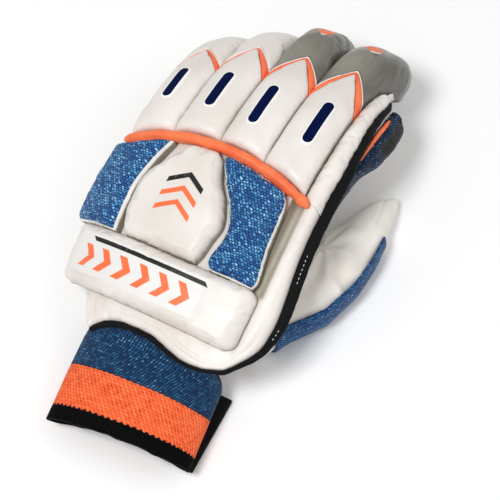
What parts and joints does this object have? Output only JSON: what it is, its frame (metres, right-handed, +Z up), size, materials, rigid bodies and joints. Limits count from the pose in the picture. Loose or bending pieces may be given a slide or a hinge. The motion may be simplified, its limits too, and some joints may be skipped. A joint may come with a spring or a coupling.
{
  "type": "cricket batting glove",
  "caption": "Left-hand cricket batting glove lying palm down: hollow leather palm and finger stalls, foam rolls and mesh pads on the back, knitted cuff and flat closure strap.",
  "frame": {"origin": "middle of the bounding box in plan, on the surface the glove lies on (z = 0)", "axes": "+Y from the cuff toward the finger tips, +X toward the thumb, +Z up out of the padded back"},
  "size_m": [0.1494, 0.2648, 0.0832],
  "materials": {
    "white_leather": "soft white leather, semi-matt with a light sheen on the foam crests",
    "thumb_leather": "thin soft leather, a little greyer than the back",
    "grey_leather": "smooth grey coated leather, soft gloss",
    "orange_vinyl": "glossy bright orange vinyl",
    "navy_vent": "flat dark navy mesh behind a stitched slot",
    "blue_mesh": "open blue sports mesh with light flecks",
    "side_mesh": "dark navy mesh",
    "black_tape": "black woven binding tape",
    "navy_knit": "navy blue elastic knit",
    "orange_knit": "orange elastic knit",
    "black_knit": "black ribbed elastic hem",
    "black_webbing": "black closure strap, loop side down"
  },
  "bodies": {
    "root": {"palm": "white_leather", "thumb_stall": "thumb_leather", "thumb_side_mesh": "blue_mesh", "little_stall": "white_leather", "ring_stall": "white_leather", "middle_stall": "white_leather", "index_stall": "white_leather", "index_side_gusset": "side_mesh", "index_side_stripe": "orange_vinyl", "back_panel": "white_leather", "index_margin": "white_leather", "back_binding": "black_tape", "outer_mesh_pad": "blue_mesh", "centre_pad": "white_leather", "inner_mesh_pad": "blue_mesh", "wrist_bar_pad": "white_leather", "knuckle_roll": "orange_vinyl", "little_roll": "white_leather", "little_trim": "orange_vinyl", "little_tip_pad": "white_leather", "little_vent": "navy_vent", "ring_roll": "white_leather", "ring_trim": "orange_vinyl", "ring_tip_pad": "white_leather", "ring_vent": "navy_vent", "middle_roll": "white_leather", "middle_trim": "orange_vinyl", "middle_tip_pad": "grey_leather", "middle_vent": "navy_vent", "middle_tip_dot": "orange_vinyl", "index_roll": "white_leather", "index_trim": "orange_vinyl", "index_tip_pad": "grey_leather", "index_vent": "navy_vent", "index_tip_dot": "orange_vinyl", "cuff_navy_band": "navy_knit", "cuff_orange_band": "orange_knit", "cuff_black_hem": "black_knit", "closure_strap": "black_webbing"}
  },
  "joints": []
}
